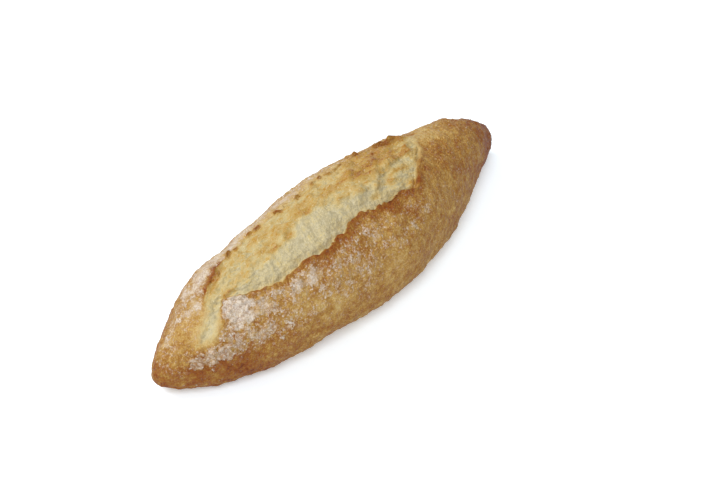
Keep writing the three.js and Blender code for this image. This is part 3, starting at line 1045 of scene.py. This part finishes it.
# crumb streaked along the slash, and drawn into strands across its pale front
def crumbColour(tree, grain):
    drawnField = field(tree, "drawn")
    streak = longNoise(tree, grain["where"], bread["streakScale"], 4, 0.65)
    strand = grainNoise(tree, field(tree, "strand", "Vector"), 1.0, 4, 0.65)
    fibre = addNode(tree, "Mix", {0: drawnField, 2: streak, 3: strand}).outputs[0]
    blotch = longNoise(tree, grain["where"], bread["blotchScale"], 3, 0.6)
    levels = {"blotch": blotch, "fibre": fibre, "fine": grain["fine"]}
    blotches, fibres, specks = swingsOf(tree, levels, bread["crumbSwings"])
    blotches = calc(tree, "MULTIPLY", blotches, fade(tree, drawnField, 1.0, bread["drawnBlotches"]))
    level = sumOf(tree, grain["bake"], blotches, fibres, specks)
    colour = colourRamp(tree, level, bread["crumbColours"])
    # painted shade along the crease under the skin
    creased = mask(tree, field(tree, "crease"), *bread["creaseShadeLevels"], bread["creaseShadeMost"])
    colour = blendColours(tree, creased, colour, fromPicture(bread["creaseShadeColour"]))
    # painted shade in the dips of the fibres and grain, and painted light on their crests
    lightness = mask(tree, sumOf(tree, grain["fine"], fibre, fibre), *bread["lightLevels"])
    shading = blendColours(tree, lightness, [*bread["crumbShade"], 1], [*bread["crumbLight"], 1])
    colour = blendColours(tree, 1.0, colour, shading, "MULTIPLY")
    # bright specks: partly grains of the crumb, partly painted glints
    sparkle = mask(tree, grain["grit"], *bread["sparkleGrit"], bread["sparkleMost"])
    offThread = offMiddle(tree, fibre, bread["threadAt"])
    thread = mask(tree, offThread, bread["threadWidth"], 0.0, bread["threadMost"])
    for bright in (sparkle, thread):
        colour = blendColours(tree, bright, colour, fromPicture(bread["sparkleColour"]))
    return colour


# flour clings to some pebbles, and covers all but the cracks where it caked
def flourLevels(tree, grain):
    caked, thick = (mask(tree, grain["flour"], *bread[name]) for name in ("caked", "thick"))
    lines = []
    for scale in bread["crinkleScales"]:
        crinkle = offMiddle(tree, grainNoise(tree, grain["where"], scale, 2), 0.5)
        lines.append(mask(tree, crinkle, bread["crackWidth"], 0.0))
    cracks = calc(tree, "MULTIPLY", caked, calc(tree, "MAXIMUM", *lines))
    cracks = calc(tree, "MULTIPLY", cracks, fade(tree, thick, *bread["crackMost"]))
    uncracked = calc(tree, "SUBTRACT", 1.0, cracks)
    loose = sumOf(tree, *swingsOf(tree, grain, bread["flourSwings"]))
    loose = calc(tree, "MULTIPLY", loose, fade(tree, thick, 1.0, bread["thickLoose"]))
    level = sumOf(tree, grain["flour"], loose)
    cover = mask(tree, level, *bread["flourCover"], bread["flourMost"])
    return level, calc(tree, "MULTIPLY", cover, uncracked), uncracked


def breadFinish():
    material = bpy.data.materials.new("bakedBread")
    material.use_nodes = True
    tree = material.node_tree
    surface = tree.nodes["Principled BSDF"]
    grain = breadGrain(tree)
    crumbField = field(tree, "crumb")
    colour = blendColours(tree, crumbField, crustColour(tree, grain), crumbColour(tree, grain))
    flourLevel, flourCover, uncracked = flourLevels(tree, grain)
    flourColour = colourRamp(tree, flourLevel, bread["flourColours"])
    colour = blendColours(tree, flourCover, colour, flourColour)
    tree.links.new(colour, surface.inputs["Base Color"])
    roughness = fade(tree, flourCover, *bread["roughness"])
    tree.links.new(roughness, surface.inputs["Roughness"])
    surface.inputs["Specular IOR Level"].default_value = bread["shine"]
    flourHeight = calc(tree, "MULTIPLY", uncracked, bread["crackBump"])
    pebbleHeight = calc(tree, "MULTIPLY", grain["pebbleEdge"], bread["pebbleBump"])
    height = sumOf(tree, grain["fine"], flourHeight, pebbleHeight)
    strength = fade(tree, crumbField, *bread["bump"])
    bump = addNode(tree, "Bump", {"Strength": strength, "Distance": bread["bumpDepth"], "Height": height})
    tree.links.new(bump.outputs[0], surface.inputs["Normal"])
    return material


bakedLoaf.data.materials.append(breadFinish())
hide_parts("loaf")
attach(bakedLoaf, "root")
print("finish: baked bread")


# floor: a plain white table that glows a little, so that shadows stay light
floor = {"size": 6.0, "drop": 0.02 * mm, "colour": (0.84, 0.93, 1, 1), "glow": 0.31, "roughness": 0.9}
floorMesh = bpy.data.meshes.new("whiteTable")
half = floor["size"] / 2
corners = [(-half, -half, 0), (half, -half, 0), (half, half, 0), (-half, half, 0)]
floorMesh.from_pydata(corners, [], [(0, 1, 2, 3)])
whiteTable = bpy.data.objects.new("whiteTable", floorMesh)
whiteTable.location.z = -floor["drop"]
bpy.context.scene.collection.objects.link(whiteTable)
tableFinish = bpy.data.materials.new("whiteTable")
tableFinish.use_nodes = True
tablePaint = tableFinish.node_tree.nodes["Principled BSDF"]
tablePaint.inputs["Base Color"].default_value = floor["colour"]
tablePaint.inputs["Roughness"].default_value = floor["roughness"]
tablePaint.inputs["Specular IOR Level"].default_value = 0.0
tablePaint.inputs["Emission Color"].default_value = (1, 1, 1, 1)
tablePaint.inputs["Emission Strength"].default_value = floor["glow"]
floorMesh.materials.append(tableFinish)


# a direction from the middle: azimuth turns from looking along +Y
def wayTo(azimuth, elevation):
    turn, tilt = math.radians(azimuth), math.radians(elevation)
    return Vector((math.sin(turn) * math.cos(tilt), -math.cos(turn) * math.cos(tilt), math.sin(tilt)))


# camera at the photo's angle
view = {
    "target": (17.28, 6.63, 0),
    "azimuth": -47.5,
    "elevation": 44,
    "distance": 1000,
    "lens": 146.8,
    "sensor": 36,
    "clipEnd": 50,
}
backwards = wayTo(view["azimuth"], view["elevation"])
camera = bpy.data.objects.new("camera", bpy.data.cameras.new("camera"))
camera.data.lens = view["lens"]
camera.data.sensor_width = view["sensor"]
camera.data.clip_end = view["clipEnd"]
camera.location = (Vector(view["target"]) + backwards * view["distance"]) * mm
camera.rotation_euler = backwards.to_track_quat("Z", "Y").to_euler()
bpy.context.scene.collection.objects.link(camera)
bpy.context.scene.camera = camera

# studio: an even white room, a soft lamp in front on the left and one behind
studio = {
    "room": 0.56,
    "lamps": [
        {"name": "frontLamp", "power": 13.5, "size": 0.8, "azimuth": -58, "elevation": 57, "distance": 1.7},
        {"name": "backLamp", "power": 16, "size": 1.0, "azimuth": -150, "elevation": 54, "distance": 1.7},
    ],
}
world = bpy.data.worlds.new("studio")
world.use_nodes = True
roomLight = world.node_tree.nodes["Background"]
roomLight.inputs["Color"].default_value = (1, 1, 1, 1)
roomLight.inputs["Strength"].default_value = studio["room"]
bpy.context.scene.world = world
for lamp in studio["lamps"]:
    lampWay = wayTo(lamp["azimuth"], lamp["elevation"])
    lampLight = bpy.data.lights.new(lamp["name"], "AREA")
    lampLight.shape = "DISK"
    lampLight.size = lamp["size"]
    lampLight.energy = lamp["power"]
    lampObject = bpy.data.objects.new(lamp["name"], lampLight)
    lampObject.location = lampWay * lamp["distance"]
    lampObject.rotation_euler = lampWay.to_track_quat("Z", "Y").to_euler()
    bpy.context.scene.collection.objects.link(lampObject)
bpy.context.scene.view_settings.view_transform = "Standard"
print("studio: table, camera and lamps")
